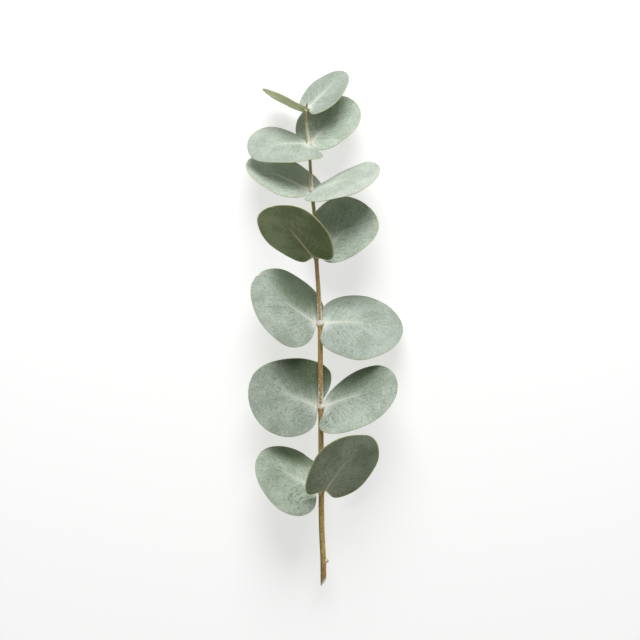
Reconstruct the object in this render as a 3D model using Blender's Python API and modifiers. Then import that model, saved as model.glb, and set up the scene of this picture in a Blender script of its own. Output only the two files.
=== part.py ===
"""Eucalyptus branch: a cut stem with seven pairs of round, stalkless leaves, lying on a surface.

Metres, +Z up. The stem runs along +Y from its cut end to its tip, and the leaves stand out to
both sides. The origin is under the middle of the branch, on the surface it lies on.
Lengths below are in millimetres and angles in degrees; MM turns lengths into metres.
"""
import math
from dataclasses import dataclass

import bmesh
import bpy
import numpy as np
from mathutils import Matrix, Vector

MM = 0.001
GAP = 0.3                 # clear distance between the stem and each leaf
CLASP_MARGIN = 0.12       # a little more, because the faces are flat between their corners
CLASP_BLEND = 6.0         # how sharply a lobe turns round the stem

# Stem
STEM_SIDES = 2            # bevel resolution: eight sides
INTERNODE_STEP = 5.0      # spacing of the rings between two nodes
NODE_RINGS = (-3.0, -1.8, -0.9, 0.0, 0.9, 1.8, 3.0)   # rings close to a node
NODE_SWELL = 0.30         # a node is this share thicker than the stem beside it
NODE_SWELL_REACH = 1.5
CUT_OVERRUN = 3.0         # stem drawn past the cut, then cut off
CUT_NORMAL = (0.72, -0.56, 0.40)

# Side stub left where a shoot was taken off, near the cut end
STUB_ALONG = -118.0
STUB_RADIUS = 0.95
STUB_REACH = 1.25
STUB_TURN = 24.0

# Blade
BLADE_STEPS = 14          # faces from the base of the midrib to its tip
HALF_STEPS = 4            # faces from the midrib to each margin
BLADE_THICKNESS = 0.62
MIDRIB_THICKNESS = 1.25
MIDRIB_WIDTH = 0.16       # share of the half width that the thick midrib fades over
BASE_WIDTH = 0.09         # width of the attached base, as an angle of the outline in radians
VEIN_FAN = 1.5            # above 1 the rows of faces fan out from the base, as the veins do
NOTCH = 0.34              # half width of the notch at the base, as an angle of the outline
EGG = 0.05                # share by which a leaf is narrower at its tip than at its base

# Flat spots that the branch rests on
REST_LEAVES = ("leaf_1_left", "leaf_3_right", "leaf_5_left")
CUTTER_SIZE = 60.0

# Terminal bud
BUD_LENGTH = 3.2
BUD_WIDTH = 1.3
BUD_TURN = 14.0

# Centre line of the stem from the cut end to the tip: x, y, z and radius
STEM_LINE = (
    (-0.75, -128.0, 10.5, 1.45),
    (-0.9, -117.0, 12.3, 1.42),
    (-1.5, -104.5, 14.0, 1.38),
    (-1.9, -81.5, 16.2, 1.38),
    (-2.0, -61.5, 16.8, 1.32),
    (-2.05, -40.0, 16.8, 1.32),
    (-2.3, -18.5, 16.3, 1.25),
    (-2.5, 1.5, 15.7, 1.18),
    (-3.3, 18.5, 15.2, 1.05),
    (-4.4, 35.0, 14.9, 1.00),
    (-5.0, 52.5, 14.4, 0.92),
    (-6.6, 68.5, 13.9, 0.88),
    (-7.4, 81.5, 13.7, 0.78),
    (-8.0, 91.5, 13.7, 0.72),
    (-9.4, 102.5, 13.9, 0.62),
    (-9.6, 109.3, 14.1, 0.55),
)
NODE_POINTS = {1: 3, 2: 5, 3: 7, 4: 9, 5: 11, 6: 13, 7: 15}   # node number to its row above


@dataclass(frozen=True)
class Leaf:
    """One leaf: where it grows, how it is turned, its outline and the bends of its blade.

    In the leaf's own frame the midrib runs along x, y points across towards the stem's tip,
    and z is the upper face. The "up" half of the blade is the one with positive y.
    """
    node: int
    side: int              # 1 on the right of the stem, -1 on the left
    angle: float           # midrib above the sideways direction, towards the stem's tip
    lift: float            # midrib raised from the surface
    tilt: float            # upper face turned towards the stem's tip
    length: float
    width: float
    lobe_up: float         # how far each half reaches back past the base
    lobe_down: float
    around: float = 0.0    # place of the base round the stem, from the side upwards
    droop: float = 0.0     # midrib bends away from the upper face by this much at its tip
    sweep: float = 0.0     # midrib bends sideways, towards the up half
    twist: float = 0.0     # blade turned about its midrib at the tip
    crease: float = 0.0    # both halves raised at the midrib
    curl_up: float = 0.0   # the up half curls towards the upper face
    curl_down: float = 0.0
    fade: float = 0.6      # share of crease and curl that is gone at the tip
    lean_up: float = 0.0   # widest part of a half moved towards the tip
    lean_down: float = 0.0
    wave: float = 0.3      # height of the margin's waves
    wave_start: float = 0.0
    skew: float = 0.0      # share by which the up half is narrower and the other one wider

    @property
    def name(self):
        return f"leaf_{self.node}_{'right' if self.side > 0 else 'left'}"


LEAVES = (
    Leaf(1, -1, 29, 6, 38, 34.5, 42, 6.5, 4, around=-25, curl_up=-46, curl_down=2,
         lean_up=-7, lean_down=-3, wave_start=0.5),
    Leaf(1, 1, 56, 24, 128, 38, 41, 8, 9, around=35, curl_up=-28, curl_down=12,
         lean_up=2, lean_down=9, wave_start=2.0),
    Leaf(2, -1, 23, 6, 16, 37, 42.3, 2, 4, around=-60, curl_up=14, curl_down=-4,
         lean_up=-8, wave_start=1.0, skew=0.01),
    Leaf(2, 1, 25, 20, 36, 40, 38, 0.5, 9, around=35, droop=10, sweep=-15, crease=-14,
         curl_up=-34, curl_down=42, fade=0.9, lean_up=2, lean_down=-2, wave_start=3.0,
         skew=0.03),
    Leaf(3, -1, 35, 10, 34.5, 39, 41.5, 3, 3, around=-25, curl_up=-32, curl_down=-10,
         lean_up=-1.5, lean_down=-4, wave=0.45, wave_start=4.0),
    Leaf(3, 1, 9, -7.5, 32, 41, 40.5, 0.5, 7.5, around=35, droop=18, sweep=-30, crease=-9,
         curl_up=-20, curl_down=-10, fade=0.9, lean_up=-1, lean_down=2, wave_start=0.0),
    Leaf(4, -1, 50, 28, 129, 36, 39, 5.5, 9, around=35, curl_up=-5, curl_down=10,
         lean_up=5, lean_down=6, wave_start=5.0),
    Leaf(4, 1, 47, 0, 32, 35.5, 38.5, 5, 1, around=-25, droop=4, curl_up=5, curl_down=28,
         lean_up=4, lean_down=5, wave_start=2.5, skew=-0.05),
    Leaf(5, -1, 27, 0, 57, 34.5, 35, 8, 1, around=-25, droop=4, curl_up=10, curl_down=2,
         lean_down=1, wave_start=1.5),
    Leaf(5, 1, 18, 23, 69, 36, 34, 0.5, 7, around=35, droop=8, curl_up=-22, curl_down=-8,
         twist=15, fade=0.9, lean_up=-2, wave_start=3.5),
    Leaf(6, -1, 6, 25, 56, 31, 31, 0.5, 9, around=60, droop=40, crease=-2, curl_up=0,
         curl_down=2, twist=10, fade=0.9, lean_up=4, lean_down=-3, wave_start=0.8),
    Leaf(6, 1, 50, -8.5, 35, 32, 33.5, 3, 2.5, around=-70, droop=4, curl_up=10, curl_down=16,
         lean_down=2, wave_start=4.4),
    Leaf(7, -1, 25, 8, 93, 23, 24, 3.5, 5, around=20, curl_up=-6, curl_down=-6,
         wave=0.15, wave_start=2.2),
    Leaf(7, 1, 47, -6, 51, 27, 27, 3, 3.5, around=-20, droop=4, curl_up=-3, curl_down=-3,
         wave=0.2, wave_start=1.2),
)

# Materials: base colour (linear RGB) and roughness
BARK = ("stem_bark", (0.36, 0.27, 0.14), 0.62)
BLADE = ("leaf_blade", (0.36, 0.44, 0.34), 0.55)
BUD = ("bud_scale", (0.33, 0.21, 0.15), 0.55)


def clear_scene():
    """Remove every object of the scene that the script is run in."""
    for obj in list(bpy.data.objects):
        bpy.data.objects.remove(obj, do_unlink=True)


def new_collection(name):
    """A collection linked to the scene."""
    collection = bpy.data.collections.new(name)
    bpy.context.scene.collection.children.link(collection)
    return collection


def new_material(name, colour, roughness):
    """A plain Principled material, made once for each name."""
    material = bpy.data.materials.get(name)
    if material is None:
        material = bpy.data.materials.new(name)
        material.use_nodes = True
        shader = material.node_tree.nodes["Principled BSDF"]
        shader.inputs["Base Color"].default_value = (*colour, 1.0)
        shader.inputs["Roughness"].default_value = roughness
        shader.inputs["Metallic"].default_value = 0.0
    return material


def mesh_object(name, bm, collection, material=None):
    """Turn a bmesh into an object of the collection."""
    mesh = bpy.data.meshes.new(name)
    bm.to_mesh(mesh)
    bm.free()
    obj = bpy.data.objects.new(name, mesh)
    collection.objects.link(obj)
    if material is not None:
        mesh.materials.append(new_material(*material))
    return obj


def boolean(obj, cutter, operation):
    """Cut the object by the cutter, or join the cutter to it."""
    modifier = obj.modifiers.new(operation.lower(), "BOOLEAN")
    modifier.operation = operation
    modifier.object = cutter
    cutter.hide_render = True
    cutter.display_type = "WIRE"


def smooth(obj, angle=40.0):
    """Shade smooth, with edges sharper than the angle kept sharp."""
    obj.data.shade_smooth()
    obj.data.set_sharp_from_angle(angle=math.radians(angle))


def arc_along(curvature, distance):
    """How far a path that bends at this rate has gone forwards."""
    curvature = np.where(np.abs(curvature) < 1e-6, 1e-6, curvature)
    return np.sin(curvature * distance) / curvature


def arc_aside(curvature, distance):
    """How far a path that bends at this rate has gone sideways."""
    curvature = np.where(np.abs(curvature) < 1e-6, 1e-6, curvature)
    return (1.0 - np.cos(curvature * distance)) / curvature


def stem_at(along):
    """Centre and bare radius of the stem at lengths along +Y, on a smooth curve.

    Between two rows of STEM_LINE the curve is a cubic that keeps the slopes at both rows; past
    either end it goes straight on.
    """
    table = np.array(STEM_LINE)
    y = table[:, 1]
    slopes = np.gradient(table, y, axis=0)
    along = np.asarray(along, float)
    row = np.clip(np.searchsorted(y, along) - 1, 0, len(y) - 2)
    span = (y[row + 1] - y[row])[..., None]
    inside = np.clip(along, y[0], y[-1])
    t = (inside - y[row])[..., None] / span
    point = ((2 * t**3 - 3 * t**2 + 1) * table[row] + (t**3 - 2 * t**2 + t) * span * slopes[row]
             + (3 * t**2 - 2 * t**3) * table[row + 1] + (t**3 - t**2) * span * slopes[row + 1])
    past = (along - inside)[..., None]
    end_slope = np.where(past > 0, slopes[-1], slopes[0]) * np.array([1.0, 1.0, 1.0, 0.0])
    point = point + past * end_slope
    return point[..., :3], point[..., 3]


def node_along(node):
    """Length along +Y of a node."""
    return STEM_LINE[NODE_POINTS[node]][1]


def stem_radius(along):
    """Radius of the stem with the swelling at its nodes."""
    swell = sum(np.exp(-((along - node_along(n)) / NODE_SWELL_REACH) ** 2) for n in NODE_POINTS)
    return stem_at(along)[1] * (1.0 + NODE_SWELL * swell)


def stem_direction(along):
    """Unit direction of the stem towards its tip."""
    along = np.asarray(along, float)
    ahead = stem_at(along + 0.5)[0] - stem_at(along - 0.5)[0]
    return ahead / np.linalg.norm(ahead, axis=-1, keepdims=True)


def push_clear_of_stem(points, thickness):
    """Move points of a blade straight away from the stem's axis where they come too near it.

    The new distance is the old one well away from the stem, and blends into the stem's radius
    plus the gap and half the blade, so that a lobe clasps the stem without touching it.
    """
    centre, _ = stem_at(points[:, 1])
    axis = stem_direction(points[:, 1])
    out = points - centre
    out = out - np.sum(out * axis, axis=1, keepdims=True) * axis
    distance = np.maximum(np.linalg.norm(out, axis=1), 1e-6)
    need = stem_radius(points[:, 1]) + GAP + 0.5 * thickness + CLASP_MARGIN
    pushed = (distance**CLASP_BLEND + need**CLASP_BLEND) ** (1.0 / CLASP_BLEND)
    beyond_tip = points[:, 1] > STEM_LINE[-1][1] + BUD_LENGTH
    pushed = np.where(beyond_tip, distance, pushed)
    return points + out * ((pushed - distance) / distance)[:, None]


def stem_stations():
    """Lengths along +Y of the stem's rings: even between nodes, closer at each node."""
    start = STEM_LINE[0][1] - CUT_OVERRUN
    end = STEM_LINE[-1][1]
    near = [node_along(n) + step for n in NODE_POINTS for step in NODE_RINGS]
    count = int((end - start) / INTERNODE_STEP)
    even = [start + (end - start) * i / count for i in range(count + 1)]
    clear_of_nodes = [s for s in even if min(abs(s - n) for n in near) > 0.4 * INTERNODE_STEP]
    stations = sorted(s for s in near + clear_of_nodes + [start, end] if start <= s <= end)
    return [s for i, s in enumerate(stations) if i == 0 or s - stations[i - 1] > 0.2]


def build_stem_tube(collection):
    """The stem as a bevelled curve with its own radius at each point, then made a mesh."""
    stations = stem_stations()
    curve = bpy.data.curves.new("stem_line", "CURVE")
    curve.dimensions = "3D"
    curve.bevel_depth = MM
    curve.bevel_resolution = STEM_SIDES
    curve.use_fill_caps = True
    spline = curve.splines.new("POLY")
    spline.points.add(len(stations) - 1)
    for point, along in zip(spline.points, stations):
        centre, _ = stem_at(along)
        point.co = (*(centre * MM), 1.0)
        point.radius = float(stem_radius(along))
    guide = bpy.data.objects.new("stem_line", curve)
    collection.objects.link(guide)
    bpy.context.view_layer.update()
    evaluated = guide.evaluated_get(bpy.context.evaluated_depsgraph_get())
    mesh = bpy.data.meshes.new_from_object(evaluated)
    bm = bmesh.new()
    bm.from_mesh(mesh)
    bmesh.ops.transform(bm, matrix=guide.matrix_world, verts=bm.verts)
    bmesh.ops.remove_doubles(bm, verts=bm.verts, dist=0.01 * MM)
    bmesh.ops.recalc_face_normals(bm, faces=bm.faces)
    bpy.data.objects.remove(guide, do_unlink=True)
    bpy.data.meshes.remove(mesh)
    return mesh_object("stem", bm, collection, BARK)


def build_stub(cutters):
    """Short stub on the right of the stem, to be joined to it."""
    centre, radius = stem_at(STUB_ALONG)
    length = radius + STUB_REACH
    bm = bmesh.new()
    bmesh.ops.create_cone(bm, cap_ends=True, segments=10, radius1=STUB_RADIUS * 1.15 * MM,
                          radius2=STUB_RADIUS * MM, depth=length * MM)
    along_axis = Matrix.Translation((0.0, 0.0, 0.5 * length * MM))
    turn = Matrix.Rotation(math.radians(90.0), 4, "Y")
    lean = Matrix.Rotation(math.radians(STUB_TURN), 4, "Z")
    place = Matrix.Translation(Vector(centre * MM))
    bmesh.ops.transform(bm, matrix=place @ lean @ turn @ along_axis, verts=bm.verts)
    return mesh_object("stub_to_join", bm, cutters)


def build_cut(cutters):
    """Box whose top face is the slanting cut at the end of the stem."""
    centre, _ = stem_at(STEM_LINE[0][1])
    normal = Vector(CUT_NORMAL).normalized()
    bm = bmesh.new()
    bmesh.ops.create_cube(bm, size=CUTTER_SIZE * MM)
    outwards = normal.to_track_quat("Z", "Y").to_matrix().to_4x4()
    rise = Matrix.Translation((0.0, 0.0, 0.5 * CUTTER_SIZE * MM))
    place = Matrix.Translation(Vector(centre * MM))
    bmesh.ops.transform(bm, matrix=place @ outwards @ rise, verts=bm.verts)
    return mesh_object("end_cut", bm, cutters)


def build_stem(parts, cutters):
    """The stem with its swollen nodes, side stub and slanting cut."""
    stem = build_stem_tube(parts)
    boolean(stem, build_stub(cutters), "UNION")
    boolean(stem, build_cut(cutters), "DIFFERENCE")
    smooth(stem)
    return stem


def leaf_frame(leaf):
    """Base point of a leaf and its midrib, across and face directions."""
    angle, lift, tilt = (math.radians(a) for a in (leaf.angle, leaf.lift, leaf.tilt))
    level = np.array([leaf.side * math.cos(angle), math.sin(angle), 0.0])
    across_level = np.array([-leaf.side * math.sin(angle), math.cos(angle), 0.0])
    upright = np.array([0.0, 0.0, 1.0])
    midrib = math.cos(lift) * level + math.sin(lift) * upright
    raised = -math.sin(lift) * level + math.cos(lift) * upright
    across = math.cos(tilt) * across_level - math.sin(tilt) * raised
    face = math.sin(tilt) * across_level + math.cos(tilt) * raised
    along = node_along(leaf.node)
    centre, _ = stem_at(along)
    axis = stem_direction(along)
    around = math.radians(leaf.around)
    out = np.array([leaf.side * math.cos(around), 0.0, math.sin(around)])
    out = out - out.dot(axis) * axis
    out = out / np.linalg.norm(out)
    base = centre + out * (stem_radius(along) + GAP)
    return base, midrib, across, face


def half_width(leaf, half):
    """Greatest width of the leaf's up half, where half is 1, or of the other, where it is -1."""
    return 0.5 * leaf.width * (1.0 - leaf.skew * half)


def leaf_margin(leaf, turn, half):
    """Outline in the flat: turn runs from pi at the base to 0 at the tip, half is 1 or -1.

    Each half is part of an ellipse, longer behind its widest point where the lobe reaches
    back past the base, and a rounded notch brings it in to the base.
    """
    lobe = np.where(half > 0, leaf.lobe_up, leaf.lobe_down)
    lean = np.where(half > 0, leaf.lean_up, leaf.lean_down)
    widest = 0.5 * (leaf.length - 0.5 * (leaf.lobe_up + leaf.lobe_down))
    reach = np.where(np.cos(turn) > 0, leaf.length - widest, widest + lobe)
    x = widest + reach * np.cos(turn) + lobe * np.exp(-((math.pi - turn) / NOTCH) ** 2)
    across = np.sin(turn) * (1.0 - EGG * np.cos(turn))
    return x + lean * across**2, half * half_width(leaf, half) * across


def leaf_section(leaf, x, y):
    """Bend the flat blade across: each half is an arc that starts at the crease angle."""
    widest = half_width(leaf, np.where(y > 0, 1.0, -1.0))
    share = np.abs(y) / widest
    strength = 1.0 - leaf.fade * np.clip(x / leaf.length, -0.1, 1.0)
    start = np.radians(leaf.crease) * strength
    curl = np.radians(np.where(y > 0, leaf.curl_up, leaf.curl_down)) * strength
    rate = curl / widest
    forwards, aside = arc_along(rate, np.abs(y)), arc_aside(rate, np.abs(y))
    out = np.sign(y) * (forwards * np.cos(start) - aside * np.sin(start))
    height = forwards * np.sin(start) + aside * np.cos(start)
    wave = np.sin(3.2 * math.pi * x / leaf.length + leaf.wave_start + 1.9 * (y > 0))
    height = height + leaf.wave * wave * share**2
    twist = np.radians(leaf.twist) * x / leaf.length
    return (out * np.cos(twist) - height * np.sin(twist),
            out * np.sin(twist) + height * np.cos(twist))


def leaf_surface(leaf, x, y):
    """Points of the bent blade in the leaf's frame, for flat coordinates x and y.

    The midrib is an arc that droops and sweeps at an even rate, and the section at x stands
    square to it.
    """
    droop = np.radians(leaf.droop) / leaf.length
    sweep = np.radians(leaf.sweep) / leaf.length
    spine = np.stack([0.5 * (arc_along(droop - sweep, x) + arc_along(droop + sweep, x)),
                      arc_aside(sweep, x),
                      -0.5 * (arc_aside(droop + sweep, x) + arc_aside(droop - sweep, x))], -1)
    d, s = droop * x, sweep * x
    side = np.stack([-np.sin(s) * np.cos(d), np.cos(s), np.sin(s) * np.sin(d)], -1)
    top = np.stack([np.sin(d), np.zeros_like(d), np.cos(d)], -1)
    out, height = leaf_section(leaf, x, y)
    return spine + out[..., None] * side + height[..., None] * top


def leaf_grid_point(leaf, u, v):
    """Flat coordinates of a grid point: u from base to tip, v from -1 to 1 across."""
    turn = math.pi - BASE_WIDTH - (math.pi - 2.0 * BASE_WIDTH) * u
    half = np.where(v < 0, -1.0, 1.0)
    margin_x, margin_y = leaf_margin(leaf, turn, half)
    first = leaf_margin(leaf, np.array(math.pi - BASE_WIDTH), np.array(1.0))[0]
    last = leaf_margin(leaf, np.array(BASE_WIDTH), np.array(1.0))[0]
    midrib_x = first + (last - first) * u**VEIN_FAN
    share = np.abs(v)
    return (1.0 - share) * midrib_x + share * margin_x, share * margin_y


def leaf_thickness_weights(u, v):
    """Share of the midrib's thickness: all of it at the base of the midrib, none at the margin."""
    ridge = np.exp(-(v / MIDRIB_WIDTH) ** 2) * (1.0 - 0.75 * u)
    return np.clip(ridge, 0.0, 1.0)


def build_leaf(leaf, collection):
    """One blade: a grid bent to the leaf's surface, then thickened."""
    base, midrib, across, face = leaf_frame(leaf)
    bm = bmesh.new()
    bmesh.ops.create_grid(bm, x_segments=BLADE_STEPS, y_segments=2 * HALF_STEPS, size=1.0)
    flat = np.array([vert.co[:] for vert in bm.verts])
    u, v = 0.5 * (flat[:, 0] + 1.0), flat[:, 1]
    x, y = leaf_grid_point(leaf, u, v)
    local = leaf_surface(leaf, x, y)
    points = base + local[:, 0:1] * midrib + local[:, 1:2] * across + local[:, 2:3] * face
    weights = leaf_thickness_weights(u, v)
    thickness = BLADE_THICKNESS + (MIDRIB_THICKNESS - BLADE_THICKNESS) * weights
    points = push_clear_of_stem(points, thickness)
    for vert, point in zip(bm.verts, points):
        vert.co = Vector(point * MM)
    bmesh.ops.triangulate(bm, faces=bm.faces, quad_method="SHORT_EDGE")
    if leaf.side < 0:
        bmesh.ops.reverse_faces(bm, faces=bm.faces)
    obj = mesh_object(leaf.name, bm, collection, BLADE)
    group = obj.vertex_groups.new(name="midrib")
    for index, weight in enumerate(weights):
        group.add([index], float(weight), "REPLACE")
    solidify = obj.modifiers.new("thickness", "SOLIDIFY")
    solidify.thickness = MIDRIB_THICKNESS * MM
    solidify.offset = 0.0
    solidify.vertex_group = group.name
    solidify.thickness_vertex_group = BLADE_THICKNESS / MIDRIB_THICKNESS
    smooth(obj, 50.0)
    return obj


def build_ground(cutters):
    """Box under the surface that the branch lies on; it flattens the leaves that touch it."""
    bm = bmesh.new()
    bmesh.ops.create_cube(bm, size=1.0)
    size = Matrix.Diagonal((200.0 * MM, 300.0 * MM, CUTTER_SIZE * MM, 1.0))
    place = Matrix.Translation((0.0, 0.0, -0.5 * CUTTER_SIZE * MM))
    bmesh.ops.transform(bm, matrix=place @ size, verts=bm.verts)
    return mesh_object("ground", bm, cutters)


def build_bud(collection):
    """Pointed bud of two closed leaflets at the tip of the stem."""
    tip, _ = stem_at(STEM_LINE[-1][1])
    bm = bmesh.new()
    bmesh.ops.create_uvsphere(bm, u_segments=12, v_segments=8, radius=0.5)
    for vert in bm.verts:
        rise = vert.co.z + 0.5
        taper = 1.0 - 0.55 * rise**1.5
        vert.co = Vector((vert.co.x * BUD_WIDTH * taper, vert.co.y * 0.7 * BUD_WIDTH * taper,
                          rise * BUD_LENGTH)) * MM
    turn = Matrix.Rotation(math.radians(-90.0), 4, "X")
    lean = Matrix.Rotation(math.radians(BUD_TURN), 4, "Z")
    place = Matrix.Translation(Vector((tip + stem_direction(STEM_LINE[-1][1]) * GAP) * MM))
    bmesh.ops.transform(bm, matrix=place @ lean @ turn, verts=bm.verts)
    bud = mesh_object("tip_bud", bm, collection, BUD)
    smooth(bud)
    return bud


def main():
    """Build the stem, its leaves and the bud."""
    clear_scene()
    parts = new_collection("eucalyptus_branch")
    cutters = new_collection("cutters")
    build_stem(parts, cutters)
    leaves = [build_leaf(leaf, parts) for leaf in LEAVES]
    build_bud(parts)
    ground = build_ground(cutters)
    for leaf in leaves:
        if leaf.name in REST_LEAVES:
            boolean(leaf, ground, "DIFFERENCE")


main()
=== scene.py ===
"""Eucalyptus branch, seen from above: a cut stem with seven pairs of round, waxy leaves."""
import logging
import math
from dataclasses import dataclass, replace
from enum import Enum

import bpy
import numpy as np
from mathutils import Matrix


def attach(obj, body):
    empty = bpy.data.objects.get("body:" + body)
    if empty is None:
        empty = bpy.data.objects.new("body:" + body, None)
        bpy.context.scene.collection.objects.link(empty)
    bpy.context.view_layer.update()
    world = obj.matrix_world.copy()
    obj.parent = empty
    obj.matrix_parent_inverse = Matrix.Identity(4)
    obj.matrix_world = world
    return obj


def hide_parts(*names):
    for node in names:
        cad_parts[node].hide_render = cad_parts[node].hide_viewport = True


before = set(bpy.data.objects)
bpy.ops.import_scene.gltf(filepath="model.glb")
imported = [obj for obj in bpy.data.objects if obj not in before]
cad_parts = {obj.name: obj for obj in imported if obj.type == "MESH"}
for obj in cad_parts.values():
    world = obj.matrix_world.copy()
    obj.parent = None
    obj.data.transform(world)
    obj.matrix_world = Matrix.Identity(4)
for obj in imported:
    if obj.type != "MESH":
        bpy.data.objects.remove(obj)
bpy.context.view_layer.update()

LOG = logging.getLogger("eucalyptus_branch")
MM = 0.001
GAP = 0.3                 # clear distance between the stem and each leaf
CLASP_MARGIN = 0.12
CLASP_BLEND = 6.0         # how sharply a lobe turns round the stem
BASE_WIDTH = 0.09         # width of the attached base, as an angle of the outline in radians
VEIN_FAN = 1.5            # above 1 the rows of the grid fan out from the base, as the veins do
NOTCH = 0.34              # half width of the notch at the base, as an angle of the outline
NICK_SPOT = (0.22, 0.07)  # place and half width of the nick, as angles of the outline
EGG = 0.05                # share by which a leaf is narrower at its tip than at its base
MARGIN_WAVES = 1.6        # waves of the margin from base to tip
UP_PHASE = 1.9            # by how much those of the up half are ahead, in radians
BLADE_SPOT = "blade_mm"   # attribute: along the midrib, across it, and in from the margin
VEIN_SPOT = "vein_mm"     # attribute: where a side vein leaves the midrib, how far out along it
VEIN_FOCUS = (-9.0, -22.0)    # the side veins of a half point away from here
BASE_FAN = 5.0            # veins of a lobe leave the base this many millimetres to a radian
STEM_SPOT = "stem_mm"     # attribute: along the stem, cosine round it, share of pale collar
FLOOR_CLEAR = 0.03        # least height of a blade's lower face over the floor
FLOOR_TOUCH = 0.02        # no point of a leaf is lower than this
FLOOR_EASE = 6.0          # how sharply a blade is eased up from the floor
CLOUDS = 90.0             # waves to a metre of the noises on a blade, from here to POWDER
GRAIN = 1300.0
SPECKS = 640.0
SCUFFS = 620.0
POWDER = 2100.0

Array = np.ndarray
Colour = tuple[float, float, float]


class BladeFace(Enum):
    """The two faces of a leaf, as material slots of its mesh."""
    UPPER = 0
    UNDER = 1


class StemFace(Enum):
    """The two surfaces of the stem, as material slots of its mesh."""
    BARK = 0
    CUT = 1


def linear(colour: Colour) -> tuple[float, float, float, float]:
    """Linear RGBA of a display colour of 0 to 255."""
    shares = [value / 255.0 for value in colour]
    return (*[s / 12.92 if s < 0.04045 else ((s + 0.055) / 1.055) ** 2.4 for s in shares], 1.0)


def arc_along(curvature: Array, distance: Array) -> Array:
    """How far forwards a path has gone: sin(curvature times distance) over curvature."""
    curvature = np.where(np.abs(curvature) < 1e-6, 1e-6, curvature)
    return np.sin(curvature * distance) / curvature


def arc_aside(curvature: Array, distance: Array) -> Array:
    """How far sideways it has gone: one less cos(curvature times distance), over curvature."""
    curvature = np.where(np.abs(curvature) < 1e-6, 1e-6, curvature)
    return (1.0 - np.cos(curvature * distance)) / curvature


def unit(vectors: Array) -> Array:
    """Vectors along the last axis, made one long."""
    return vectors / np.maximum(np.linalg.norm(vectors, axis=-1, keepdims=True), 1e-9)


def bell(places: Array, middle: float | Array, width: float | Array) -> Array:
    """A bump of height 1: e to the minus square of the distance from its middle over its width."""
    return np.exp(-(((places - middle) / width) ** 2))


def around_ring(sides: int) -> Array:
    """Angles round a ring, as one row."""
    return (2.0 * math.pi * np.arange(sides) / sides)[None, :]


def kept_above(height: Array, lowest: float) -> Array:
    """Heights eased up to stay over the lowest: a soft maximum, and exact 1 mm above it."""
    eased = lowest + np.logaddexp(0.0, FLOOR_EASE * (height - lowest)) / FLOOR_EASE
    return np.where(height < lowest + 1.0, eased, height)


def ripple(a: Array, b: Array, seed: float) -> Array:
    """A smooth unevenness between about -1 and 1.

    Four sines that cross at different angles and wavelengths are added, and their phases come
    from the seed.

    Args:
        a: first coordinate in radians of the longest wave.
        b: second coordinate.
        seed: any number; each one gives other waves.

    Returns:
        Heights, as an array of the coordinates' shape.
    """
    waves = ((1.0, 0.7, 0.9, 0.4), (-0.6, 1.3, 2.3, 0.3), (1.9, -0.4, 4.1, 0.2),
             (0.8, 2.4, 5.7, 0.15))
    return sum(height * np.sin(along * a + across * b + seed * phase)
               for along, across, phase, height in waves)


def spaced(count: int, peaks: tuple[tuple[float, float, float], ...]) -> Array:
    """Places from -1 to 1 that lie closer together near the peaks.

    The density is 1 plus a bell round each peak. Its running sum is turned round, so that equal
    steps of the sum give the places.

    Args:
        count: number of places.
        peaks: for each bell its middle, its half width and its height.

    Returns:
        The places, with -1 first and 1 last.
    """
    line = np.linspace(-1.0, 1.0, 2001)
    density = 1.0 + sum(h * bell(line, m, w) for m, w, h in peaks)
    total = np.concatenate([[0.0], np.cumsum(0.5 * (density[1:] + density[:-1]))])
    return np.interp(np.linspace(0.0, total[-1], count), total, line)


def grid_faces(index: Array, flip: bool) -> Array:
    """Four-cornered faces between neighbouring entries of an index grid.

    Args:
        index: vertex numbers, one for each place of the grid.
        flip: turn every face over.

    Returns:
        One row of four vertex numbers for each face.
    """
    quads = np.stack([index[:-1, :-1], index[1:, :-1], index[1:, 1:], index[:-1, 1:]], -1)
    quads = quads.reshape(-1, 4)
    return quads[:, ::-1] if flip else quads


def make_object(name: str, points: Array, faces: list, slots: list[int],
                materials: list[bpy.types.Material], spots: dict[str, Array]
                ) -> bpy.types.Object:
    """Make a smooth mesh object in the scene from arrays.

    Args:
        name: name of the object.
        points: vertices in millimetres.
        faces: lists of vertex numbers.
        slots: material slot of each face.
        materials: one material for each slot.
        spots: for each attribute's name, the vector that each vertex carries for its material.

    Returns:
        The object, with its place in its mesh.
    """
    mesh = bpy.data.meshes.new(name)
    mesh.from_pydata((points * MM).tolist(), [], faces)
    for material in materials:
        mesh.materials.append(material)
    mesh.polygons.foreach_set("material_index", slots)
    for attribute, vectors in spots.items():
        layer = mesh.attributes.new(attribute, "FLOAT_VECTOR", "POINT")
        layer.data.foreach_set("vector", vectors.astype(np.float32).ravel())
    mesh.shade_smooth()
    mesh.update()
    obj = bpy.data.objects.new(name, mesh)
    bpy.context.scene.collection.objects.link(obj)
    return obj


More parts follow.
